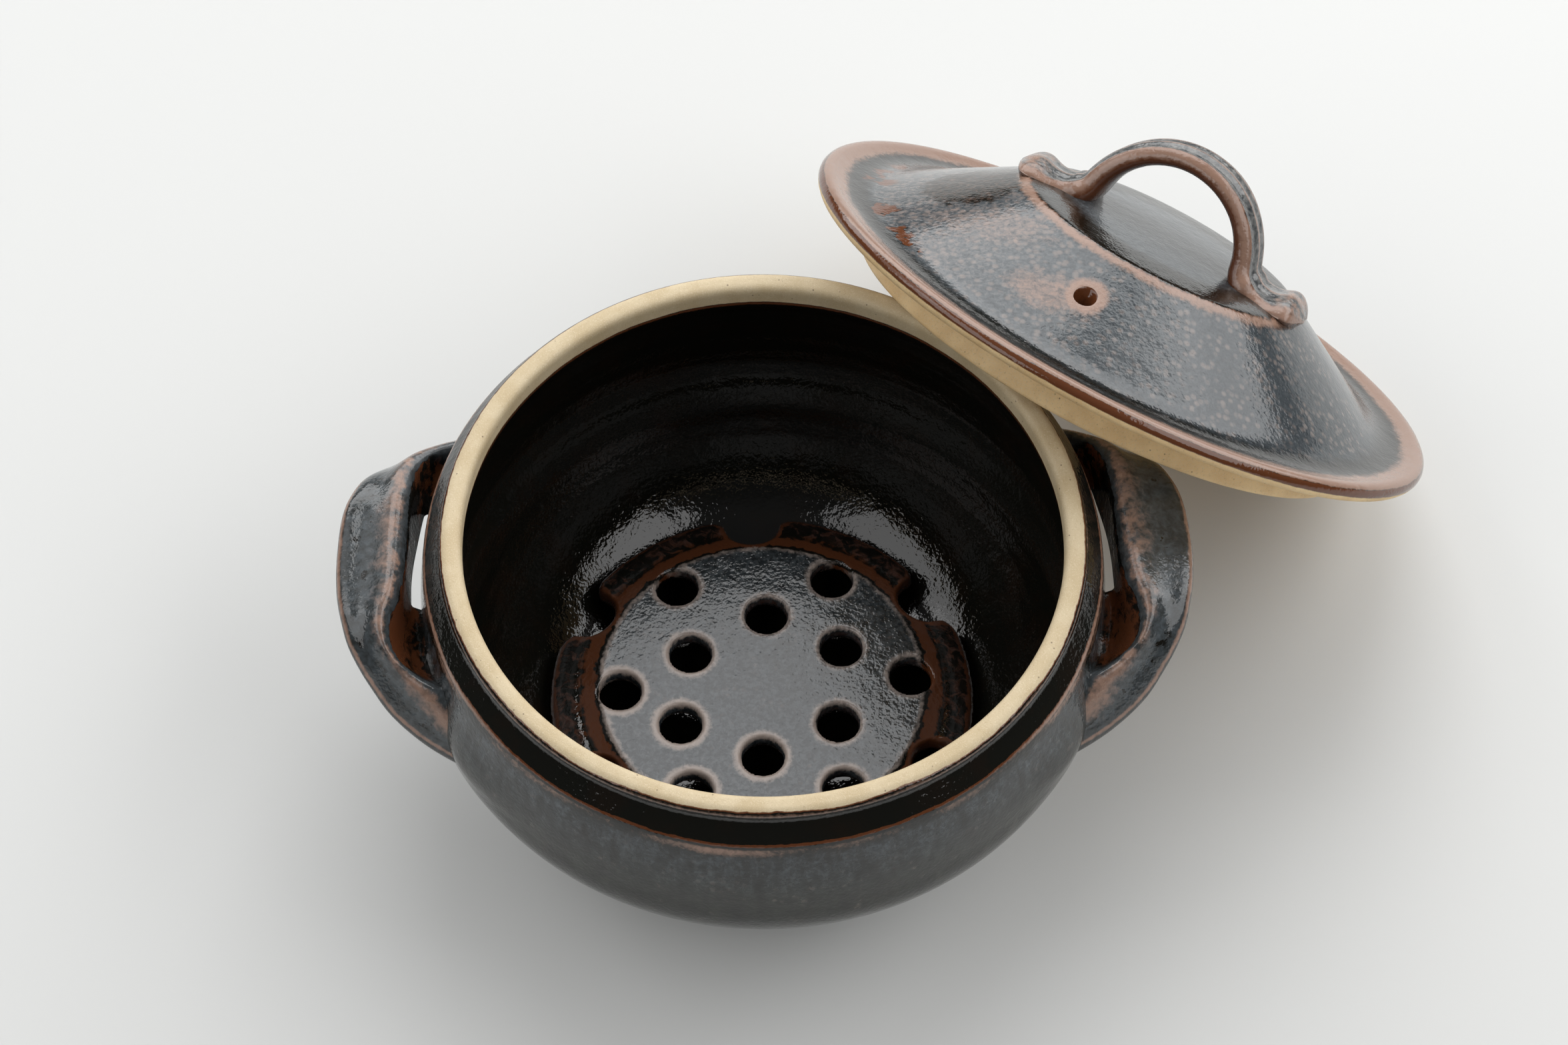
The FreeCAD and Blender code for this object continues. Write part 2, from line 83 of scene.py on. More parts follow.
def drift(first, second, seed, waves=7):
    """A gentle random surface between -1 and 1: a sum of sine waves in two directions."""
    dice = np.random.default_rng(seed)
    total = 0.0
    for _ in range(waves):
        a, b = dice.uniform(-1, 1, 2)
        total = total + np.sin(a * first + b * second + dice.uniform(0, 2 * math.pi))
    return total / waves


def ease(value, low, high):
    """0 below low, 1 above high and a smooth step between them."""
    share = np.clip((value - low) / (high - low), 0, 1)
    return share * share * (3 - 2 * share)


def bell(value, middle, width):
    """1 at middle, falling away on both sides as a bell does."""
    return np.exp(-((value - middle) / width) ** 2)


def apart(angle, centre):
    """The signed angle from centre to angle, at most half a turn."""
    return (angle - centre + math.pi) % (2 * math.pi) - math.pi


# Meshes

def grid_faces(rows, columns):
    """Quads of a grid of points stored row by row, its last column joined to its first."""
    row, column = np.meshgrid(np.arange(rows - 1), np.arange(columns), indexing="ij")
    following = (column + 1) % columns
    corners = [row * columns + column, row * columns + following,
               (row + 1) * columns + following, (row + 1) * columns + column]
    return np.stack(corners, -1).reshape(-1, 4)


def end_fans(rows, columns):
    """Triangles that close such a grid: from its first row to the point stored after the grid,
    and from its last row to the point after that."""
    turn = np.arange(columns)
    following, last = (turn + 1) % columns, (rows - 1) * columns
    return np.concatenate([
        np.stack([np.full(columns, rows * columns), following, turn], 1),
        np.stack([np.full(columns, rows * columns + 1), last + turn, last + following], 1)])


def piece(name, shape, material, body, nodes):
    """Makes a mesh piece from its shape: millimetre points, quads, triangles, and notes, which
    become its number attributes. The piece rides a body and replaces CAD nodes."""
    points, quads, triangles, notes = shape
    counts = np.concatenate([np.full(len(quads), 4), np.full(len(triangles), 3)]).astype(np.int32)
    corners = np.concatenate([np.ravel(quads), np.ravel(triangles)]).astype(np.int32)
    mesh = bpy.data.meshes.new(name)
    mesh.vertices.add(len(points))
    mesh.vertices.foreach_set("co", (np.asarray(points, float) / 1000).astype(np.float32).ravel())
    mesh.loops.add(len(corners))
    mesh.loops.foreach_set("vertex_index", corners)
    mesh.polygons.add(len(counts))
    mesh.polygons.foreach_set("loop_start", (np.cumsum(counts) - counts).astype(np.int32))
    mesh.polygons.foreach_set("use_smooth", np.ones(len(counts), bool))
    mesh.update(calc_edges=True)
    for title, values in notes.items():
        values = np.asarray(values, np.float32)
        if values.ndim == 2:
            mesh.attributes.new(title, "FLOAT_VECTOR", "POINT").data.foreach_set("vector", values.ravel())
        else:
            mesh.attributes.new(title, "FLOAT", "POINT").data.foreach_set("value", values)
    mesh.validate()
    mesh.materials.append(material)
    thing = bpy.data.objects.new(name, mesh)
    bpy.context.scene.collection.objects.link(thing)
    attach(thing, body)
    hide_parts(*nodes)


# Glazes

COLOUR_A, COLOUR_OUT = 6, 2     # sockets of the mix node that hold colours
GLAZE_IOR = 1.55
GLAZE_DEPTH = 0.00012
LID_DEPTH = 0.00009
CLAY_ROUGHNESS = 0.62


class Recipe:
    """A material and short calls that add its shader nodes; place is the point shaded, in
    millimetres."""

    def __init__(self, name):
        self.material = bpy.data.materials.new(name)
        self.material.use_nodes = True
        self.tree = self.material.node_tree
        self.shader = self.tree.nodes["Principled BSDF"]
        place = self.node("ShaderNodeTexCoord").outputs["Object"]
        self.place = self.vector("SCALE", place, 1000)

    def node(self, kind, **settings):
        made = self.tree.nodes.new(kind)
        for key, value in settings.items():
            setattr(made, key, value)
        return made

    def put(self, socket, value):
        if isinstance(value, bpy.types.NodeSocket):
            self.tree.links.new(value, socket)
        elif isinstance(value, tuple) and len(socket.default_value) == 4:
            socket.default_value = (*value, 1.0)
        elif value is not None:
            socket.default_value = value

    def vector(self, operation, first, second=None):
        scaled = operation == "SCALE"
        made = self.node("ShaderNodeVectorMath", operation=operation)
        self.put(made.inputs[0], first)
        self.put(made.inputs["Scale" if scaled else 1], second)
        return made.outputs["Vector" if scaled else "Value"]

    def parts(self, vector):
        made = self.node("ShaderNodeSeparateXYZ")
        self.put(made.inputs[0], vector)
        return made.outputs

    def stretched(self, *scales):
        """The place scaled along each axis; a pattern is drawn out where the scale is small."""
        made = self.node("ShaderNodeMapping")
        self.put(made.inputs["Vector"], self.place)
        self.put(made.inputs["Scale"], scales)
        return made.outputs[0]

    def calc(self, operation, *values):
        made = self.node("ShaderNodeMath", operation=operation)
        for socket, value in zip(made.inputs, values):
            self.put(socket, value)
        return made.outputs[0]

    def line(self, value, slope, start):
        """value times slope, plus start."""
        return self.calc("MULTIPLY_ADD", value, slope, start)

    def rest(self, value):
        return self.calc("SUBTRACT", 1.0, value)

    def centred(self, value):
        """A noise, which lies round a half, moved to lie round 0."""
        return self.calc("SUBTRACT", value, 0.5)

    def either(self, first, *others):
        """The largest value."""
        for other in others:
            first = self.calc("MAXIMUM", first, other)
        return first

    def both(self, first, *others):
        """The product of the values."""
        for other in others:
            first = self.calc("MULTIPLY", first, other)
        return first

    def note(self, title, vector=False):
        """A number, or a vector, that the mesh holds for each of its points."""
        made = self.node("ShaderNodeAttribute", attribute_name=title)
        return made.outputs["Vector" if vector else "Fac"]

    def step(self, value, low, high):
        """0 to 1 as value goes from low to high, smoothly; low may be the larger."""
        made = self.node("ShaderNodeMapRange", interpolation_type="SMOOTHSTEP")
        turned = low > high
        self.put(made.inputs["Value"], value)
        self.put(made.inputs["From Min"], min(low, high))
        self.put(made.inputs["From Max"], max(low, high))
        self.put(made.inputs["To Min"], 1.0 if turned else 0.0)
        self.put(made.inputs["To Max"], 0.0 if turned else 1.0)
        return made.outputs["Result"]

    def band(self, value, low, middle, high):
        """1 at middle and 0 at low and high."""
        return self.both(self.step(value, low, middle), self.step(value, high, middle))

    def noise(self, size, detail=2.0, rough=0.5, warp=0.0, place=None):
        """Cloudy noise between 0 and 1 with features of about the size, in millimetres."""
        made = self.node("ShaderNodeTexNoise")
        self.put(made.inputs["Vector"], place or self.place)
        self.put(made.inputs["Scale"], 1.0 / size)
        self.put(made.inputs["Detail"], detail)
        self.put(made.inputs["Roughness"], rough)
        self.put(made.inputs["Distortion"], warp)
        return made.outputs["Fac"]

    def cells(self, size):
        """The distance from the nearest of scattered points, in shares of the size."""
        made = self.node("ShaderNodeTexVoronoi")
        self.put(made.inputs["Vector"], self.place)
        self.put(made.inputs["Scale"], 1.0 / size)
        return made.outputs["Distance"]

    def mix(self, factor, first, second):
        """The first colour where factor is 0 and the second where it is 1."""
        made = self.node("ShaderNodeMix", data_type="RGBA")
        self.put(made.inputs["Factor"], factor)
        for socket, value in zip(list(made.inputs)[COLOUR_A:], (first, second)):
            self.put(socket, value)
        return made.outputs[COLOUR_OUT]

    def finish(self, colour, roughness, height, depth=GLAZE_DEPTH):
        """Puts the look in the shader; height is felt as a relief of the given depth, in metres."""
        bump = self.node("ShaderNodeBump")
        for socket, value in ((bump.inputs["Strength"], 1.0), (bump.inputs["Distance"], depth),
                              (bump.inputs["Height"], height)):
            self.put(socket, value)
        for title, value in (("Base Color", colour), ("Roughness", roughness), ("IOR", GLAZE_IOR),
                             ("Normal", bump.outputs["Normal"])):
            self.put(self.shader.inputs[title], value)
        return self.material


# linear colours: the glaze from its darkest to its palest, then the clay
BLACK = (0.0062, 0.0062, 0.0046)
BROWN = (0.0095, 0.0065, 0.0042)
RUST = (0.115, 0.038, 0.015)
SLATE = (0.026, 0.032, 0.037)
ASH = (0.030, 0.032, 0.031)
MIST = (0.080, 0.094, 0.104)
# MIST painted darker and paler for the two ends of the lid's slope: painted shade and painted sheen
MIST_PAINTED_SHADE = (0.054, 0.064, 0.071)
MIST_PAINTED_SHEEN = (0.128, 0.143, 0.152)
ASH_PALE = (0.20, 0.198, 0.19)
BLOOM = (0.50, 0.41, 0.36)
ROSE = (0.30, 0.185, 0.135)
DUST = (0.25, 0.20, 0.175)
MOSS = (0.0145, 0.016, 0.0115)
LICHEN = (0.029, 0.033, 0.024)
CLAY = (0.615, 0.505, 0.33)
CLAY_SHADE = (0.54, 0.425, 0.255)
TOAST = (0.86, 0.635, 0.34)
TOAST_SHADE = (0.74, 0.515, 0.255)
GROG = (0.76, 0.66, 0.49)
GROG_DARK = (0.42, 0.30, 0.16)
IRON_SPECK = (0.10, 0.055, 0.03)


def bare_clay(r, tones):
    """Unglazed stoneware: warm sand with fine grog and dark iron specks; colour and height."""
    cloud = r.noise(9.0, 3, 0.55)
    grain = r.noise(0.45, 2, 0.7)
    colour = r.mix(r.step(cloud, 0.3, 0.72), *tones)
    colour = r.mix(r.both(r.step(grain, 0.52, 0.7), 0.45), colour, GROG)
    colour = r.mix(r.both(r.step(r.noise(0.8, 2, 0.7), 0.56, 0.72), 0.35), colour, GROG_DARK)
    speck = r.both(r.step(r.cells(2.3), 0.16, 0.07), r.step(r.noise(3.1, 1), 0.50, 0.62))
    return r.mix(r.both(speck, 0.75), colour, IRON_SPECK), grain


def iron_glaze(r, thin, frost, rose, spots, crystals, grain=1.6, soft=0.0, spot_size=2.9, patch=0.7,
               blush_tone=ROSE):
    """Black iron glaze that breaks to rust where it is thin, clouds to crystals in two tones
    where frost is high and to a blush where rose is, with round spots in the crystals; colour,
    roughness and height. The grain is the size of the crystals' mottles, soft blurs them, and
    patch is how ragged the crystals' border is."""
    mottle = r.noise(grain, 3, 0.6, 0.5)
    cloud = r.noise(14.0, 3, 0.55, 0.4)
    fleck = r.noise(4.2, 3, 0.6, 0.8)
    colour = r.mix(r.step(cloud, 0.42, 0.75), BLACK, BROWN)
    # rust breaks out in ragged patches where the glaze is thin
    ragged = r.line(r.centred(fleck), 1.1, thin)
    colour = r.mix(r.step(ragged, 0.30, 0.62), colour, RUST)
    # crystals: a slate veil with misty mottles
    veil = r.step(r.line(r.centred(fleck), patch, frost), 0.20, 0.80)
    crystal = r.mix(r.step(mottle, 0.36 - soft, 0.66 + soft), *crystals)
    colour = r.mix(veil, colour, crystal)
    # round spots in the crystals, and the blush over all
    crowded = r.step(r.line(r.noise(7.0, 3, 0.6), 1.2, spots), 0.72, 1.12)
    spot = r.both(r.step(r.cells(spot_size), 0.52, 0.18), crowded, veil)
    blush = r.step(r.line(r.centred(mottle), 0.8, rose), 0.20, 0.90)
    colour = r.mix(r.both(spot, 0.48), colour, DUST)
    colour = r.mix(r.both(blush, 0.92), colour, blush_tone)
    roughness = r.line(blush, 0.14, r.line(veil, 0.08, 0.055))
    height = r.line(r.noise(5.5, 1, 0.4), 1.6, r.noise(1.25, 1.5, 0.5, 0.3))
    return colour, roughness, height


def partly_bare(r, bare, tones, colour, roughness, height):
    """A glaze's colour, roughness and height, with clay where bare is 1."""
    clay, grain = bare_clay(r, tones)
    glazed = r.rest(bare)
    return (r.mix(bare, colour, clay), r.line(bare, CLAY_ROUGHNESS, r.both(roughness, glazed)),
            r.calc("ADD", r.both(height, glazed), r.both(grain, 0.8, bare)))


# Pot

# half sections of the wall from the foot to the rim and from there to the middle of the floor
POT_OUTSIDE = [(0, 0), (62, 0, 20, "left"), (78, 8.9), (102.4, 48, 26, "left"), (108.8, 70, 165, "left"),
               (105.5, 103), (100, 109.5), (100, 111.5, 2.5, "left"), (97.5, 114)]
POT_INSIDE = [(97.5, 114), (95, 114, 2, "left"), (93, 112), (93, 105, 70, "right"), (102.2, 70, 24, "right"),
              (96.6, 51), (92.3, 36), (88.3, 28.6), (84, 22.6), (80, 18.2), (76, 14.8), (70, 10.6),
              (65, 8.5), (59, 7.5), (0, 7.5)]
FINE_STEP = 0.5                 # between points of the profile near the rim
EAR_TURNS = (math.radians(5), math.radians(180))
EAR_ENDS = (-0.60, 0.60)        # radians from an ear's middle to where it merges with the belly


def pot_surface(around=300):
    """A turned wall: each point (radius, height) of the half section is carried round the
    upright axis. The radius then drifts by a fraction of a millimetre as thrown clay does, the
    belly is pressed in a little behind each ear and swells where an ear's ends merge with it,
    the collar has a bead of glaze, and the inside keeps faint throwing rings."""
    outside = softened(np.concatenate([profile(POT_OUTSIDE[:6])[:-1], profile(POT_OUTSIDE[5:], FINE_STEP)]), 2)
    inside = softened(np.concatenate([profile(POT_INSIDE[:4], FINE_STEP)[:-1], profile(POT_INSIDE[3:])]), 6)
    line = np.concatenate([outside, inside[1:]])
    within = np.concatenate([np.zeros(len(outside)), np.ones(len(inside) - 1)])
    radius, height = line[1:-1, 0][:, None], line[1:-1, 1][:, None]
    inner = within[1:-1][:, None]
    outer = 1 - inner
    angle = np.linspace(0, 2 * math.pi, around, endpoint=False)[None]
    wobble = 0.22 * drift(2 * np.cos(angle) + 0 * height, 2 * np.sin(angle) + height / 40, 4)
    wobble = wobble * ease(height, 8, 30)
    spiral = np.sin(height * 0.9 + 1.3 * np.sin(height * 0.21) + angle)
    rings = 0.10 * spiral * inner * ease(height, 20, 40) * (1 - ease(height, 98, 104))
    behind = sum(bell(apart(angle, turn), 0, 0.3) for turn in EAR_TURNS)
    pressed = -1.4 * behind * bell(height, 72, 22) * (1 - inner * 0.6)
    roots = sum(bell(apart(angle, turn + end), 0, 0.17) for turn in EAR_TURNS for end in EAR_ENDS)
    swelling = 3.2 * roots * bell(height, 77, 11) * outer
    bead = 0.30 * bell(height, 112.2, 0.8) * outer
    reach = radius + wobble + rings + pressed + bead + swelling
    points = np.stack([reach * np.cos(angle), reach * np.sin(angle), height + 0 * angle], -1).reshape(-1, 3)
    points = np.concatenate([points, [[0, 0, line[0, 1]], [0, 0, line[-1, 1]]]])
    rows = len(line) - 2
    notes = {"inside": np.concatenate([np.repeat(inner[:, 0], around), [0, 1]])}
    return points, grid_faces(rows, around), end_fans(rows, around), notes


def pot_glaze():
    """Black inside; outside a bare clay rim, a rose bead, a black collar, a rust ridge that is
    rose at both sides, and a mottled grey-green belly with a rose blush under the ridge."""
    r = Recipe("pot_glaze")
    across, _, height = r.parts(r.place)
    inside = r.note("inside")
    outside = r.rest(inside)
    sway = r.centred(r.noise(26.0, 2))
    fine = r.centred(r.noise(2.6, 2))
    level = r.line(sway, 1.2, r.line(fine, 0.5, height))
    ridge = r.both(r.band(level, 102.7, 103.4, 104.2), outside)
    bead = r.both(r.band(level, 110.9, 112.1, 113.3), outside)
    blush = r.both(r.band(level, 97.0, 101.6, 102.9), outside)
    belly = r.both(r.step(level, 102.8, 97.0), outside)
    lip_edge = r.either(r.both(r.band(level, 112.8, 113.15, 113.5), outside),
                        r.both(r.band(level, 104.8, 106.2, 107.4), inside))
    streak = r.noise(3.0, 3, 0.6, 0.3, r.stretched(1.0, 1.0, 0.16))
    frost = r.both(belly, r.line(streak, 0.9, 0.05))
    flank = r.step(r.calc("ABSOLUTE", across), 55.0, 95.0)
    flush = r.both(r.band(level, 101.2, 103.0, 104.6), outside, flank, 0.85)
    rose = r.either(r.both(blush, r.line(sway, 1.6, 0.45)), r.both(bead, 0.55), flush)
    upper = r.step(level, 72.0, 98.0)
    crystals = (r.mix(upper, MOSS, SLATE), r.mix(upper, LICHEN, MIST))
    glaze = iron_glaze(r, r.either(ridge, lip_edge), frost, rose, 0.16, crystals, soft=0.06)
    rim = r.calc("ADD", r.both(r.step(level, 113.15, 113.4), outside),
                 r.both(r.step(level, 106.9, 107.3), inside))
    foot = r.both(r.step(height, 0.8, 0.3), outside)
    return r.finish(*partly_bare(r, r.either(rim, foot), (CLAY_SHADE, CLAY), *glaze))


piece("thrown_pot", pot_surface(), pot_glaze(), "pot", ["pot_body"])


# Ear handles

# sections of an ear from its back end to its front end: place along it, then how far out and
# how high are the pocket's edge, the foot of the pocket's wall, the crest and the lip, then the
# height of the underside
EAR_SECTIONS = np.array([
    (-64, 74, 75, 73, 76, 80, 77, 84, 70, 64), (-54, 86, 84, 84, 85, 96, 82.5, 104, 73.6, 66.5),
    (-46, 96, 90.5, 93, 91, 105, 91, 115.5, 79, 73),
    (-40, 105, 94, 102, 88.5, 110.8, 95.8, 121.2, 84, 77.5),
    (-33, 109, 97, 105.5, 85.5, 114, 100, 126.4, 90, 82),
    (-21, 110.6, 99.2, 107.8, 86, 115.6, 103.2, 131, 95.6, 87),
    (0, 110.5, 99, 109.6, 89, 116, 104, 133.2, 96.5, 88),
    (10, 110.9, 99, 109.4, 88.6, 115.8, 104, 132.8, 96.2, 87.8),
    (17, 111.8, 99, 109, 87.5, 116.4, 103.6, 131.9, 95.8, 87.4),
    (24, 113.8, 98.6, 108, 85.5, 117.6, 102.8, 130.2, 95, 86.4),
    (31, 114, 97.2, 106.5, 84.5, 117.2, 100.8, 127.7, 91.6, 83.7),
    (36.5, 111.5, 94.8, 104, 85, 114.6, 97.6, 124.1, 87.4, 80.3),
    (41, 105.5, 92.4, 101.5, 88.5, 110.4, 94.2, 120.2, 83, 77),
    (46, 97, 91, 94, 91.5, 104.5, 91, 115.5, 79, 73), (54, 86, 84, 84, 85, 96, 82.5, 104, 73.6, 66.5),
    (64, 74, 75, 73, 76, 80, 77, 84, 70, 64)], float)
EAR_HALF = 64                   # half an ear's length
BURIED = 102.5                  # radius that the closed pocket's floor runs in to
UNDER_FACE = 3.6                # how deep an ear's hidden points lie at most under the pot's face


def through(stations, values, where):
    """A smooth line through values at stations: cubic pieces whose slopes are taken from
    the neighbours on both sides."""
    slope = np.gradient(values, stations, axis=0)
    index = np.clip(np.searchsorted(stations, where) - 1, 0, len(stations) - 2)
    gap = (stations[index + 1] - stations[index])[:, None]
    t = ((where - stations[index])[:, None]) / gap
    return ((2 * t ** 3 - 3 * t ** 2 + 1) * values[index] + (t ** 3 - 2 * t ** 2 + t) * gap * slope[index]
            + (3 * t ** 2 - 2 * t ** 3) * values[index + 1] + (t ** 3 - t ** 2) * gap * slope[index + 1])


def bow(start, end, radius, count):
    """Rows of arc points from start to end, bulging to the left of the way."""
    half = np.linalg.norm(end - start, axis=-1, keepdims=True) / 2
    radius = np.maximum(radius, half * 1.001)
    along = (end - start) / (2 * half)
    side = np.stack([-along[..., 1], along[..., 0]], -1)
    centre = (start + end) / 2 - side * np.sqrt(radius ** 2 - half ** 2)
    turn = np.arcsin(half / radius)[..., None, :] * np.linspace(-1, 1, count, endpoint=False)[None, :, None]
    around = side[:, None] * np.cos(turn) + along[:, None] * np.sin(turn)
    return centre[:, None] + radius[..., None, :] * around


def straight(start, end, count):
    """Rows of evenly spaced points from start towards end."""
    share = np.linspace(0, 1, count, endpoint=False)[None, :, None]
    return start[:, None] * (1 - share) + end[:, None] * share


def ear_surface(turn, front, middle, half, more, seed, along=190):
    """A wide lug with a pocket behind its crest. At each place along it the section runs over
    the pocket's floor, up its wall, over a round crest, down a slope that sags a little, round
    the lip and back below. The section's sizes follow smooth lines along the ear. Round the
    given middle, for the given half length to both sides, the pocket's floor is drawn away,
    which leaves the see-through slot. What lies inside the pot's wall is held under its face."""
    where = np.linspace(-EAR_HALF, EAR_HALF, along)
    px, pz, cx, cz, kx, kz, ex, ez, low = through(EAR_SECTIONS[:, 0], EAR_SECTIONS[:, 1:], where).T
    ex = ex + more
    far = np.abs(where - middle + 0.5 * np.sin(where))
    closed = ease(far, half - 2.6, half + 0.4)
    cx = cx + 0.5 * drift(where / 5, 0 * where, seed + 2) * (1 - closed)
    inward = np.minimum(cx, np.sqrt(np.maximum(BURIED ** 2 - where ** 2, 0)))
    floor_in = np.stack([cx * (1 - closed) + inward * closed, cz - 0.6], -1)
    below_in = np.stack([(cx + 0.6) * (1 - closed) + inward * closed, low - 4 * closed], -1)
    foot, edge, crest = np.stack([cx, cz], -1), np.stack([px, pz], -1), np.stack([kx, kz], -1)
    lip, under = np.stack([ex - 2, ez + 3], -1), np.stack([ex - 2, ez - 3], -1)
    # each run's points, and the numbers that mark its start and end for the glaze
    parts = [(straight(below_in, floor_in, 4), 4.0, 4.0), (straight(floor_in, foot, 7), 0.0, 0.4),
             (straight(foot, edge, 14), 0.4, 1.0), (bow(edge, crest, 7.0, 14), 1.0, 2.0),
             (straight(crest, lip, 20), 2.0, 3.0), (bow(lip, under, 3.4, 12), 3.0, 3.6),
             (straight(under, below_in, 14), 3.6, 4.0)]
    smooth = np.concatenate([part for part, _, _ in parts], 1)
    count = smooth.shape[1]
    kind = np.concatenate([np.linspace(a, b, part.shape[1], endpoint=False) for part, a, b in parts])[None]
    for _ in range(9):
        smooth = smooth / 2 + (np.roll(smooth, 1, 1) + np.roll(smooth, -1, 1)) / 4
    run = where[:, None]
    sag = np.sin(np.clip(kind - 2, 0, 1) * math.pi) ** 2 * (1 - (run / EAR_HALF) ** 2)
    x = smooth[..., 0] + 0.40 * drift(run / 7, kind * 1.7, seed)
    y = run * front + 0 * x
    z = smooth[..., 1] - sag + 0.35 * drift(run / 8, kind * 2.1, seed + 1)
    # the pot's outside from the foot's curve to below the rim's
    wall = softened(profile(POT_OUTSIDE), 2)[5:-8]
    hidden = np.interp(z, wall[:, 1], wall[:, 0]) - UNDER_FACE
    pull = np.maximum(1.0, hidden / np.hypot(x, y))
    x, y = x * pull, y * pull
    c, s = math.cos(turn), math.sin(turn)
    points = np.stack([x * c - y * s, x * s + y * c, z], -1)
    points = np.concatenate([points.reshape(-1, 3), points[[0, -1]].mean(1)])
    quads, caps = grid_faces(along, count), end_fans(along, count)
    if front > 0:
        quads, caps = quads[:, ::-1], caps[:, ::-1]
    notes = {"across": np.concatenate([(kind + 0 * x).ravel(), [0, 0]]),
             "along": np.concatenate([(run + 0 * x).ravel(), [-EAR_HALF, EAR_HALF]])}
    return points, quads, caps, notes


def ear_glaze(name):
    """Grey-blue slopes on both sides of a rose crest, a pale rose lip, streaks of rust and
    black in the pocket, and a few black runs down the slope."""
    r = Recipe(name)
    across, along = r.note("across"), r.note("along")
    fine = r.centred(r.noise(4.2, 4, 0.62))
    broad = r.centred(r.noise(15.0, 2))
    kind = r.line(fine, 0.55, r.line(broad, 0.5, across))
    crest = r.band(kind, 1.22, 1.78, 2.72)
    lip = r.band(r.line(fine, 0.12, across), 2.94, 3.10, 3.26)
    front = r.step(along, 8.0, 14.0)
    back = r.step(along, -24.0, -30.0)
    far = r.step(r.calc("ABSOLUTE", along), 36.0, 44.0)
    pocket = r.both(r.step(r.line(fine, 0.5, across), 1.16, 1.04), r.step(across, -0.5, 0.0), r.rest(far))
    runs = r.both(r.step(r.noise(6.0, 4, 0.65), 0.60, 0.64), r.band(across, 2.2, 2.6, 2.95))
    worn = r.step(r.noise(6.0, 3), 0.48, 0.60)
    bottom = r.step(across, 0.50, 0.20)
    streak = r.step(r.noise(4.0, 3, 0.6, 0.4, r.stretched(1.0, 0.22, 0.6)), 0.44, 0.60)
    rusty = r.line(streak, 0.45, r.either(r.both(front, 0.50), r.both(back, 0.35), r.both(worn, 0.30)))
    rusty = r.both(rusty, r.line(bottom, -0.6, 1.0))
    thin = r.either(r.both(pocket, rusty), r.both(lip, 0.8), r.both(crest, 0.72))
    dim = r.line(r.step(kind, 2.35, 2.75), -0.22, 0.82)
    frost = r.both(r.rest(pocket), r.step(across, 3.5, 3.1), dim, r.rest(runs))
    rose = r.either(r.both(crest, r.line(fine, 2.2, 0.62)), r.both(lip, 0.8),
                    r.both(far, r.band(kind, 1.2, 1.9, 2.6), 0.8))
    return r.finish(*iron_glaze(r, thin, frost, rose, 0.05, (ASH, MIST), grain=2.6, soft=0.16, patch=0.4))


# side of the pot, turn, which way the front end lies, the slot's middle and half length, how
# much further the lip stands out, and the seed of the unevenness
EARS = [("right", EAR_TURNS[0], -1, -8.0, 22.5, 1.3, 21), ("left", EAR_TURNS[1], 1, -4.5, 20.0, 0, 33)]
for label, *sizes in EARS:
    piece(label + "_ear", ear_surface(*sizes), ear_glaze(label + "_ear_glaze"), "pot",
          [label + "_lug_handle"])


# Steaming plate

PLATE_TURN = math.radians(4)
BORES = np.array([(-26.2, 38.8), (25.3, 39.3), (2.8, 26.3), (-22.9, 12.7), (26.7, 12.5), (-46.5, -0.4),
                  (48.8, 0.5), (-27.2, -14.0), (23.9, -16.0), (-1.2, -27.4), (-24.9, -39.3), (24.3, -40.6)])
PLATE_TOP = profile([(0, 6), (52.5, 6), (60, 3.2, 14, "right"), (69.8, -1.4)], 0.7)
PLATE_UNDER = profile([(0, 0), (49, 0, 24, "right"), (57, -1.6), (68.9, -6.9)], 0.7)
PLATE_LEVEL = 17.6              # height of the middle's underside in the pot
PLATE_RADIUS, BORE_RADIUS = 69.6, 6.7
NOTCH_RADIUS, NOTCH_CENTRE, NOTCH_FLARE = 8.7, 64.5, 0.13
CORNER = 6.0                    # radius of the outline's corners, where rim and notch meet
LIP = 1.1                       # how far in from an edge its rounding begins


def edge_gap(x, y):
    """Distances from the plate's edges, positive inside the clay: from the nearest of all, from
    the nearest bore, and from the outline, a circle with six notches. A notch is a slot with a
    round throat that flares towards its mouth."""
    reach = np.hypot(x, y)
    rim = PLATE_RADIUS - reach
    bores = np.min(np.hypot(x[..., None] - BORES[:, 0], y[..., None] - BORES[:, 1]), -1) - BORE_RADIUS
    turned = (np.arctan2(y, x) - math.pi / 2 + math.pi / 6) % (math.pi / 3) - math.pi / 6
    across, out = np.abs(reach * np.sin(turned)), reach * np.cos(turned) - NOTCH_CENTRE
    notch = np.where(out > 0, across - NOTCH_FLARE * out ** 2, np.hypot(across, out)) - NOTCH_RADIUS
    rounded = CORNER - np.hypot(np.maximum(CORNER - rim, 0), np.maximum(CORNER - notch, 0))
    outline = np.where((rim > CORNER) | (notch > CORNER), np.minimum(rim, notch), rounded)
    return np.minimum(outline, bores), bores, outline


def edge_slope(x, y, step):
    """How fast the distance from the nearest edge grows along x and along y."""
    return ((edge_gap(x + step, y)[0] - edge_gap(x - step, y)[0]) / (2 * step),
            (edge_gap(x, y + step)[0] - edge_gap(x, y - step)[0]) / (2 * step))


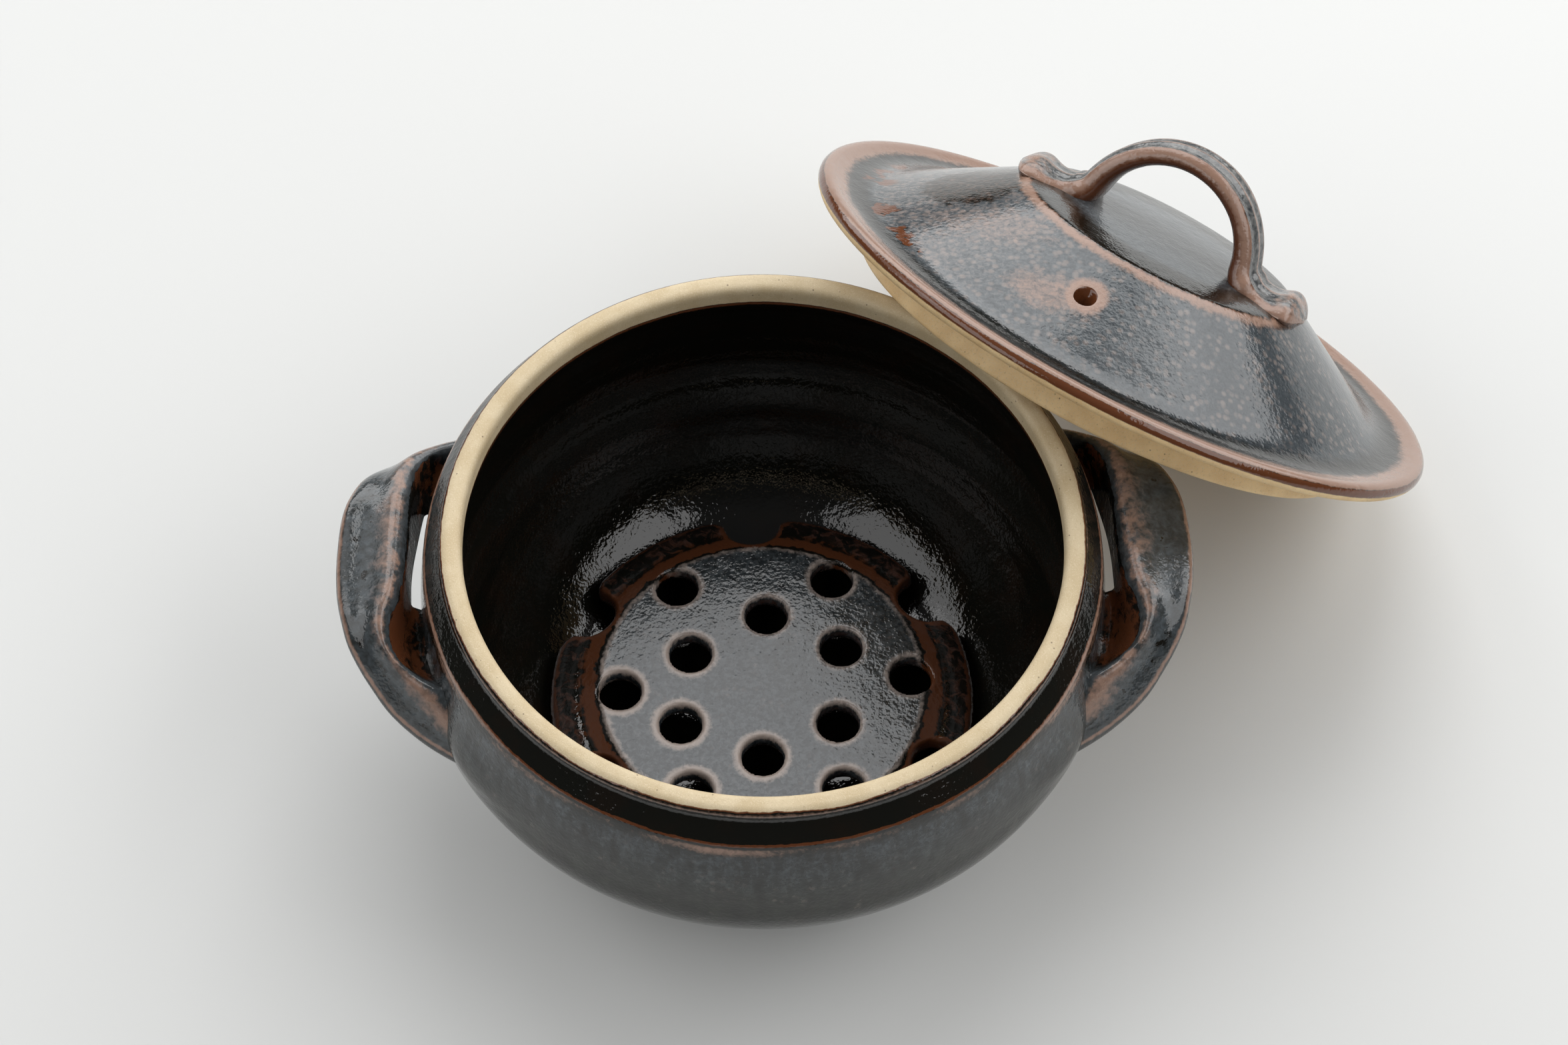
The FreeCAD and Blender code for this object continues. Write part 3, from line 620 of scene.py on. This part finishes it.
def plate_surface(cell=0.64):
    """A sheet over a square grid. Grid points near an edge are moved onto it, so that the
    cells end exactly there. Height falls from the flat over the shoulder to the flange; close
    to any edge both faces turn through a quarter circle to meet on the edge's line."""
    axis = np.arange(-71.04, 71.1, cell)
    x, y = np.meshgrid(axis, axis, indexing="ij")
    gap = edge_gap(x, y)[0]
    snap = np.abs(gap) < 0.62 * cell
    for _ in range(3):
        dx, dy = edge_slope(x, y, 0.02)
        size = np.maximum(np.hypot(dx, dy), 0.3) ** 2
        x, y = np.where(snap, x - gap * dx / size, x), np.where(snap, y - gap * dy / size, y)
        gap = edge_gap(x, y)[0]
    keep = snap | (gap > 0)
    gap = np.where(snap, 0.0, gap)
    # rounding: a point close to an edge slides in along a quarter ellipse
    t = np.clip(gap / LIP, 0, 1)
    slide = np.where(gap < LIP, LIP * (1 - np.cos(t * math.pi / 2)) * 0.62 + 0.38 * gap - gap, 0.0)
    dx, dy = edge_slope(x, y, 0.05)
    norm = np.maximum(np.hypot(dx, dy), 0.5)
    px, py = x + slide * dx / norm, y + slide * dy / norm
    reach = np.hypot(px, py)
    top = np.interp(reach, PLATE_TOP[:, 0], PLATE_TOP[:, 1])
    under = np.interp(reach, PLATE_UNDER[:, 0], PLATE_UNDER[:, 1])
    middle = (top + under) / 2
    rise = np.sin(t * math.pi / 2) ** 0.75
    top = middle + (top - middle) * rise + 0.12 * drift(px / 7, py / 7, 8) * rise
    under = middle + (under - middle) * rise
    # both faces share the points on the edges; the underside's other points come after
    upper = np.full(keep.shape, -1)
    upper[keep] = np.arange(keep.sum())
    inner = keep & ~snap
    lower = upper.copy()
    lower[inner] = keep.sum() + np.arange(inner.sum())
    corners = np.s_[:-1, :-1], np.s_[1:, :-1], np.s_[1:, 1:], np.s_[:-1, 1:]
    on_edge = np.stack([snap[corner] for corner in corners], -1).reshape(-1, 4)
    quads, triangles = [], []
    for number, way in ((upper, 1), (lower, -1)):
        held = np.stack([number[corner] for corner in corners], -1).reshape(-1, 4)
        count = (held >= 0).sum(1)
        part = held[(count == 3) & ~((held < 0) | on_edge).all(1)]
        quads.append(held[(count == 4) & ~on_edge.all(1)][:, ::way])
        triangles.append(part[part >= 0].reshape(-1, 3)[:, ::way])
    c, s = math.cos(PLATE_TURN), math.sin(PLATE_TURN)
    wx, wy = px * c - py * s, px * s + py * c
    points = np.concatenate([np.stack([wx, wy, top + PLATE_LEVEL], -1)[keep],
                             np.stack([wx, wy, under + PLATE_LEVEL], -1)[inner]])
    _, bores, outline = edge_gap(x, y)
    notes = {title: np.concatenate([values[keep], values[inner]])
             for title, values in (("bore_gap", bores), ("rim_gap", outline), ("reach", reach))}
    return points, np.concatenate(quads), np.concatenate(triangles), notes


def plate_glaze():
    """Grey-blue on the flat, pale rose round the bores, rust on the shoulder, on the flange's
    edges and in the bores, black and slate with some rust between."""
    r = Recipe("plate_glaze")
    reach, hole, rim = r.note("reach"), r.note("bore_gap"), r.note("rim_gap")
    fine = r.centred(r.noise(3.5, 3))
    ring = r.line(fine, 2.4, reach)
    shoulder = r.band(ring, 53.0, 56.2, 61.5)
    flat = r.step(ring, 54.2, 52.0)
    bore = r.step(r.line(fine, 0.5, hole), 0.55, 0.15)
    halo = r.both(r.band(r.line(fine, 1.0, hole), 0.1, 0.8, 4.6), flat)
    border = r.step(r.line(fine, 3.0, rim), 4.2, 1.2)
    flange = r.step(ring, 57.0, 60.0)
    thin = r.either(r.both(shoulder, r.line(fine, 1.2, 0.95)), bore, r.both(border, 0.75), r.both(flange, 0.36))
    near = r.step(r.vector("DOT_PRODUCT", r.place, (-0.6, -0.8, 0.0)), -20.0, 45.0)
    frost = r.either(r.both(flat, r.line(near, 0.25, 0.60)), r.both(r.step(ring, 58.0, 62.0), 0.30))
    rose = r.either(r.both(halo, r.line(near, 0.35, 0.62)), r.both(r.band(ring, 50.0, 52.8, 54.4), 0.50))
    rose = r.line(r.both(near, flat), 0.17, rose)
    return r.finish(*iron_glaze(r, thin, frost, rose, 0.12, (SLATE, MIST), blush_tone=BLOOM, spot_size=2.0))


piece("steaming_plate", plate_surface(), plate_glaze(), "plate", ["steamer_plate"])


# Lid

# where the middle of the lid's brim lies, and the lid's own three axes
LID_PLACE = np.array([117.8, 113.8, 76.2])
LID_AXES = np.array([(-0.85105435, 0.51116284, 0.12007933), (-0.32013224, -0.68639375, 0.65297701),
                     (0.41619928, 0.51727765, 0.74779809)])


def domed(radius_end, height_end, height_axis, step=1.5):
    """A shallow dome from the axis to its edge: a circle centred on the axis."""
    fall = abs(height_axis - height_end)
    radius = (radius_end ** 2 + fall ** 2) / (2 * fall)
    across = np.arange(0, radius_end, step)
    return np.stack([across, height_axis - (radius - np.sqrt(radius ** 2 - across ** 2))], 1)


LID_TOP = softened(np.concatenate([
    domed(47.5, 28.2, 30.0),
    profile([(47.5, 28.2, 4.3, "right"), (49.4, 27.6), (88.5, 3.6, 22, "left"), (107.5, 2.4, 3.3, "right"),
             (112, 0, 3.3, "right"), (110.4, -3.2)], 1.2)]), 2)
LID_UNDER = softened(np.concatenate([
    domed(45, 21.6, 23.4),
    profile([(45, 21.6), (84.6, -1.6), (84.6, -14.6, 1.2, "left"), (85.8, -15.8), (88.8, -15.8, 1.2, "left"),
             (90, -14.6), (90, -7.4), (110.4, -3.2)], 1.2)]), 1)
STEAM_HOLE = (3.5, 67.3, 3.5)   # place in the lid and radius


def uneven(x, y):
    """How far the lid's top stands above or below its turned section, in millimetres."""
    return 0.18 * drift(x / 11, y / 11, 12) * (1 - ease(np.hypot(x, y), 96, 108))


def lid_surface(around=320, block=5):
    """Two turned faces, the top and the underside, that meet at the brim. A block of cells
    round the steam hole is left out of each; rings of points lead from the block's border to
    the hole's circle, whose edge is eased, and a short tube joins the two circles."""
    hole, hole_radius = np.array(STEAM_HOLE[:2]), STEAM_HOLE[2]
    angle = math.atan2(hole[1], hole[0]) + np.arange(around) * 2 * math.pi / around
    # border of the block, once round
    side, way = np.full(2 * block, block), np.arange(-block, block)
    i = np.concatenate([-side, way, side, -way])
    j = np.concatenate([way, side, -way, -side])
    points, quads, triangles, below = [], [], [], []
    start = 0
    circles = []
    for line, under in ((LID_TOP, 0), (LID_UNDER, 1)):
        # the part that the hole goes through, where radius only grows
        slope = line[line[:, 1] > -1.5] if under else line[:60]
        centre = int(np.argmin(np.abs(slope[:, 0] - math.hypot(*hole)))) - 1
        radius, height = line[1:, 0][:, None], line[1:, 1][:, None]
        x, y = radius * np.cos(angle), radius * np.sin(angle)
        grid = np.stack([x, y, height + uneven(x, y) * (1 - under)], -1).reshape(-1, 3)
        cells = grid_faces(len(line) - 1, around)
        row, column = cells[:, 0] // around, cells[:, 0] % around
        offset = (column + around // 2) % around - around // 2
        left_out = (row >= centre - block) & (row < centre + block) & (offset >= -block) & (offset < block)
        border = (centre + i) * around + (j % around)
        corner = grid[border][:, :2]
        outward = corner - hole
        circle = hole + outward / np.linalg.norm(outward, axis=1, keepdims=True) * hole_radius
        rings = []
        for share, drop in ((0.3, 0), (0.55, 0), (0.75, 0), (0.88, 0.03), (0.95, 0.15), (0.99, 0.45),
                            (1.0, 1.0)):
            flat = corner * (1 - share) + circle * share
            level = np.interp(np.hypot(*flat.T), slope[:, 0], slope[:, 1])
            level += drop * 0.5 if under else uneven(*flat.T) - drop
            rings.append(np.column_stack([flat, level]))
        patch = np.concatenate(rings)
        base = start + len(grid)
        ids = np.concatenate([(start + border)[None], base + np.arange(len(patch)).reshape(len(rings), -1)])
        collar = np.stack([ids[:-1], np.roll(ids[:-1], -1, 1), np.roll(ids[1:], -1, 1), ids[1:]], -1)
        turn = np.arange(around)
        fan = np.stack([np.full(around, base + len(patch)), start + turn, start + (turn + 1) % around], 1)
        flip = 1 if under else -1
        quads += [(cells[~left_out] + start)[:, ::flip], collar.reshape(-1, 4)[:, ::flip]]
        triangles.append(fan[:, ::-flip])
        circles.append(ids[-1])
        points += [grid, patch, [[0, 0, line[0, 1]]]]
        below.append(np.full(len(grid) + len(patch) + 1, under))
        start = base + len(patch) + 1
    upper, lower = circles
    quads.append(np.stack([lower, np.roll(lower, -1), np.roll(upper, -1), upper], -1))
    points = np.concatenate(points)
    notes = {"hole_gap": np.hypot(*(points[:, :2] - hole).T) - hole_radius, "under": np.concatenate(below),
             "lid_place": points}
    return merged(points, np.concatenate(quads), np.concatenate(triangles), notes)


def in_world(points, quads, triangles, notes):
    """A shape in the lid's own axes, brought to where the lid leans."""
    return LID_PLACE + points @ LID_AXES, quads, triangles, notes


def merged(points, quads, triangles, notes, grain=1e-3):
    """Joins points that fall on each other, and drops faces that close up by it."""
    key = np.round(points / grain).astype(np.int64)
    _, first, back = np.unique(key, axis=0, return_index=True, return_inverse=True)
    back = back.ravel()
    return points[first], back[quads], back[triangles], {k: np.asarray(v)[first] for k, v in notes.items()}


def lid_glaze():
    """Crystalline blue-grey slope with rose spots, rose on the shoulder ridge, round the steam
    hole and in a cloud beside it, a black patch, a rose crest and rust on the brim, and bare
    clay below. Towards one end of the strap's line the crystals are painted thicker and paler,
    a painted sheen, and towards the other end darker, painted shade."""
    r = Recipe("lid_glaze")
    along, side, up = r.parts(r.note("lid_place", True))
    hole, under = r.note("hole_gap"), r.note("under")
    reach = r.calc("SQRT", r.calc("ADD", r.both(along, along), r.both(side, side)))
    fine = r.centred(r.noise(4.0, 3, 0.6))
    broad = r.centred(r.noise(22.0, 2))

    def blot(x, y, wide, deep, ragged, outer, inner):
        """An uneven patch round a place on the lid: 1 inside and 0 outside an ellipse."""
        out = r.calc("ADD", r.calc("POWER", r.line(along, 1 / wide, -x / wide), 2.0),
                     r.calc("POWER", r.line(side, 1 / deep, -y / deep), 2.0))
        return r.step(r.line(fine, ragged, out), outer, inner)

    ring = r.line(fine, 3.0, reach)
    ridge = r.band(ring, 46.8, 49.6, 51.2)
    shoulder = r.band(ring, 47.4, 50.2, 54.6)
    slope = r.both(r.step(ring, 49.0, 54.0), r.step(ring, 100.0, 88.0))
    crown = r.both(r.step(ring, 48.5, 44.0), r.step(ring, 44.0, 24.0))
    valley = r.band(ring, 84.0, 93.0, 101.0)
    near_brim = r.line(fine, 0.8, reach)
    crest = r.both(r.step(r.line(broad, 3.0, r.line(fine, 2.0, reach)), 99.0, 105.5),
                   r.step(near_brim, 111.2, 110.5))
    brim = r.step(near_brim, 110.6, 111.3)
    bore = r.step(hole, 0.40, 0.10)
    halo = r.either(r.step(r.line(fine, 2.0, hole), 6.5, 0.6), r.both(blot(14, 72, 17, 9, 1.6, 1.5, 0.1), 0.55))
    cloud = r.both(blot(44, 50, 26, 12, 2.4, 1.5, 0.1), 0.42)
    # a patch at one end of the slope where the glaze stays black, with no crystals
    black_patch = blot(60, 20, 16, 20, 1.5, 1.4, 0.4)
    scorched = r.both(r.step(r.noise(13.0, 3, 0.55), 0.52, 0.60), r.band(reach, 82.0, 91.0, 101.0),
                      r.step(along, 35.0, 62.0))
    thin = r.either(r.both(ridge, 0.45), r.both(scorched, 0.9), brim, r.both(bore, 0.7))
    # more crystals towards the same end as the pale mist: random crystal clouds, with a painted sheen that
    # grows along the strap's line
    frost_and_painted_sheen = r.line(broad, 0.7, r.line(r.step(along, -10.0, 50.0), 0.15, 0.80))
    frost = r.both(r.either(r.both(slope, frost_and_painted_sheen), crown, r.both(valley, 0.4)),
                   r.rest(r.either(scorched, black_patch, bore)))
    rose = r.either(r.both(shoulder, 0.85), r.both(slope, r.step(along, -20.0, 60.0), 0.30),
                    r.both(crest, 0.95), halo, cloud)
    rose = r.both(rose, r.rest(bore))
    spots = r.line(broad, 0.5, r.both(slope, r.line(r.step(along, -30.0, 40.0), 0.16, 0.37)))
    # painted light: the mist grows paler towards one end of the strap's line, a painted sheen, and darker
    # towards the other, painted shade
    crystals = (SLATE, r.mix(r.step(along, -60.0, 60.0), MIST_PAINTED_SHADE, MIST_PAINTED_SHEEN))
    glaze = iron_glaze(r, thin, frost, rose, spots, crystals, soft=0.20, spot_size=2.8, patch=0.45)
    below_brim = r.both(r.step(r.line(fine, 0.5, up), -0.9, -1.3), r.step(reach, 100.0, 104.0))
    bare = r.either(below_brim, r.step(under, 0.85, 0.97))
    return r.finish(*partly_bare(r, bare, (TOAST_SHADE, TOAST), *glaze), LID_DEPTH)


piece("lid", in_world(*lid_surface()), lid_glaze(), "lid", ["lid_dome"])


# Strap handle

def strap_line(count=220):
    """The strap's middle line in the lid's upright plane: pad, reverse bend, arch and their
    mirror; returned with its unit normal, evenly spaced by length."""
    arch, bend, centre, pad = 28.6, 9.0, 28.3, 28.0
    up = pad + bend - centre
    across = math.sqrt((arch + bend) ** 2 - up ** 2)
    meet = np.array([across, up]) * arch / (arch + bend)
    half = profile([(54.0, pad), (across, pad, bend, "right"), (meet[0], centre + meet[1], arch, "left"),
                    (0, centre + arch)], 0.5)
    line = np.concatenate([half, half[-2::-1] * (-1, 1)])
    length = np.concatenate([[0], np.cumsum(np.linalg.norm(np.diff(line, axis=0), axis=1))])
    even = np.linspace(0, length[-1], count)
    line = np.stack([np.interp(even, length, line[:, k]) for k in (0, 1)], 1)
    line = softened(line, 6)
    tangent = np.gradient(line, axis=0)
    tangent /= np.linalg.norm(tangent, axis=1, keepdims=True)
    normal = np.stack([tangent[:, 1], -tangent[:, 0]], 1)
    return line, normal, even - length[-1] / 2


FLUTES, FLUTE_SHIFT = 3.3 * math.pi, 0.3    # the flutes' wave across the strap


def strap_surface(around=72):
    """An oval carried along the strap's line: half width and half thickness change along it,
    three shallow flutes run down the outer face, and both ends spread into torn pads."""
    line, normal, run = strap_line()
    far = np.abs(run)
    total = far.max()
    spread = ease(far, 46, 58)
    root = bell(far, 45, 5)
    close = np.sqrt(np.clip(1 - ease(far, total - 6, total + 0.5) ** 2, 0.02, 1))
    wide = (11.6 + 3.6 * spread + 2.0 * root + 0.35 * np.sin(run / 7.0)) * close
    thick = (3.8 + 1.0 * root + 0.4 * ease(far, 20, 42) * (1 - spread)) * close
    lump = bell(far, 61, 4.2) * np.where(run > 0, 2.6, 1.7)
    run, spread, wide, thick, lump = (values[:, None] for values in (run, spread, wide, thick, lump))
    t = np.linspace(0, 2 * math.pi, around, endpoint=False)[None]
    across, off = np.cos(t), np.sin(t)
    side = wide * np.sign(across) * np.abs(across) ** 0.78
    out = thick * np.sign(off) * np.abs(off) ** (0.78 + 0.9 * spread)
    flutes = -0.55 * np.cos(side / wide * FLUTES + FLUTE_SHIFT) * ease(off, 0.15, 0.6) * (1 - 0.7 * spread)
    torn = 0.8 * drift(run / 2.2, t * 2.5, 51, 9) * spread
    out = out + flutes + torn * 0.7 + lump * np.clip(off, 0, 1) ** 0.6
    side = side * (1 + 0.05 * drift(run / 3.0, t, 52) * spread) + torn
    local = np.stack([line[:, :1] + normal[:, :1] * out, side, line[:, 1:] + normal[:, 1:] * out], -1)
    rows = len(line)
    points = np.concatenate([local.reshape(-1, 3), local[[0, -1]].mean(1)])
    notes = {"across": np.concatenate([(side / wide).ravel(), [0, 0]]),
             "facing": np.concatenate([(off + 0 * side).ravel(), [0, 0]]),
             "along": np.concatenate([(run + 0 * side).ravel(), [-total, total]])}
    return points, grid_faces(rows, around), end_fans(rows, around), notes


def strap_glaze():
    """Streaky grey outer face with rust on its flute ridges, rose edges and a rust-brown
    inner face."""
    r = Recipe("strap_glaze")
    across, facing, along = r.note("across"), r.note("facing"), r.note("along")
    fine = r.centred(r.noise(4.0, 3, 0.6))
    side = r.calc("ABSOLUTE", across)
    turn = r.line(fine, 0.3, facing)
    outer = r.both(r.step(turn, 0.34, 0.70), r.step(side, 0.95, 0.70))
    edge = r.both(r.band(turn, -0.45, 0.30, 0.95), r.step(side, 0.50, 0.90))
    ridge = r.both(r.step(r.calc("COSINE", r.line(across, FLUTES, FLUTE_SHIFT)), -0.40, -0.90), outer)
    inner = r.step(turn, 0.25, -0.15)
    root = r.step(r.calc("ABSOLUTE", along), 50.0, 62.0)
    thin = r.either(r.both(ridge, 0.8), r.both(inner, 0.9), r.both(edge, 0.9))
    frost = r.either(r.both(outer, 0.85), r.both(root, 0.5))
    rose = r.either(edge, r.both(ridge, 0.6), r.both(root, r.line(fine, 2.0, 0.5)))
    return r.finish(*iron_glaze(r, thin, frost, rose, 0.0, (SLATE, ASH_PALE), grain=2.6, soft=0.14, patch=0.4))


piece("strap_handle", in_world(*strap_surface()), strap_glaze(), "lid", ["lid_strap_handle"])


# Floor, lamps and camera

# the floor's colour near the object and far from it; the dark far colour is a painted falloff of light
FLOOR_NEAR, FLOOR_FAR = (0.69, 0.695, 0.685), (0.06, 0.06, 0.06)
FLOOR_PAINTED_FALLOFF = (430.0, 1500.0)    # millimetres from the middle over which the floor's colour falls from pale to dark, a painted falloff of light


def floor_sheet(size=6.0):
    """A level sheet under the object: pale near it and painted dark far away, a painted falloff of the light.
    """
    mesh = bpy.data.meshes.new("floor_sheet")
    mesh.from_pydata([(-size, -size, 0), (size, -size, 0), (size, size, 0), (-size, size, 0)], [],
                     [(0, 1, 2, 3)])
    sheet = bpy.data.objects.new("floor_sheet", mesh)
    bpy.context.scene.collection.objects.link(sheet)
    r = Recipe("floor_paper")
    # painted light: the floor is painted darker with distance from the object, as light falls off
    painted_falloff = r.step(r.vector("LENGTH", r.place), *FLOOR_PAINTED_FALLOFF)
    r.put(r.shader.inputs["Base Color"], r.mix(painted_falloff, FLOOR_NEAR, FLOOR_FAR))
    r.shader.inputs["Roughness"].default_value = 0.9
    r.shader.inputs["Specular IOR Level"].default_value = 0.1
    mesh.materials.append(r.material)


def placed(thing, right, up, back, place):
    """Puts a lamp or a camera in the scene, looking away from back."""
    bpy.context.scene.collection.objects.link(thing)
    thing.matrix_world = Matrix([[right[k], up[k], back[k], place[k]] for k in range(3)] + [[0, 0, 0, 1]])


def lamp(name, width, height, bearing, rise, distance, brightness, reflected=True):
    """A soft rectangular lamp that faces the object. Its bearing, from straight behind, and its
    rise are in degrees, sizes in metres; brightness is its face's, 1 being paper white."""
    light = bpy.data.lights.new(name, "AREA")
    light.shape = "RECTANGLE"
    light.size, light.size_y = width, height
    light.energy = brightness * width * height * math.pi
    holder = bpy.data.objects.new(name, light)
    bearing, rise = math.radians(bearing), math.radians(rise)
    back = np.array([math.cos(rise) * math.sin(bearing), math.cos(rise) * math.cos(bearing), math.sin(rise)])
    right = np.array([-math.cos(bearing), math.sin(bearing), 0])
    placed(holder, right, np.cross(back, right), back, back * distance)
    holder.visible_camera = False
    holder.visible_glossy = reflected


floor_sheet()
for settings in (("rear_band", 6.0, 1.35, 10, 25, 2.4, 2.65), ("rear_top", 1.6, 1.35, 0, 57, 2.4, 3.05),
                 ("rear_left", 1.2, 1.3, -57, 40, 2.3, 0.9), ("rear_right", 1.2, 1.3, 57, 40, 2.3, 0.9),
                 ("left_box", 2.5, 1.4, -104, 44, 2.2, 1.75), ("right_box", 2.7, 1.4, 98, 44, 2.2, 2.2),
                 ("front_fill", 2.4, 0.6, 180, 9, 2.2, 1.1, False)):
    lamp(*settings)

# the room: a dark grey that is lighter overhead
world = bpy.data.worlds.new("studio")
bpy.context.scene.world = world
world.use_nodes = True
tree = world.node_tree
direction = tree.nodes.new("ShaderNodeTexCoord")
parts = tree.nodes.new("ShaderNodeSeparateXYZ")
height = tree.nodes.new("ShaderNodeMapRange")
height.interpolation_type = "SMOOTHSTEP"
for title, value in (("From Min", 0.55), ("From Max", 0.80), ("To Min", 0.05), ("To Max", 0.10)):
    height.inputs[title].default_value = value
tree.links.new(direction.outputs["Generated"], parts.inputs[0])
tree.links.new(parts.outputs["Z"], height.inputs["Value"])
tree.links.new(height.outputs["Result"], tree.nodes["Background"].inputs["Strength"])
tree.nodes["Background"].inputs["Color"].default_value = (1.0, 1.0, 1.0, 1.0)

# the camera looks down along the y axis, turned a little about its own line of sight
CAMERA_PLACE = (0.00631, -0.67861, 1.14190)
lens = bpy.data.cameras.new("camera")
lens.lens = 91.84
lens.sensor_width = 36
lens.clip_end = 20
camera = bpy.data.objects.new("camera", lens)
down, roll = math.radians(56.445), math.radians(0.9)
forward = np.array([0, math.cos(down), -math.sin(down)])
level = np.array([1.0, 0, 0])
right = math.cos(roll) * level + math.sin(roll) * np.cross(level, forward)
placed(camera, right, np.cross(right, forward), -forward, CAMERA_PLACE)
bpy.context.scene.camera = camera
bpy.context.scene.view_settings.view_transform = "Standard"
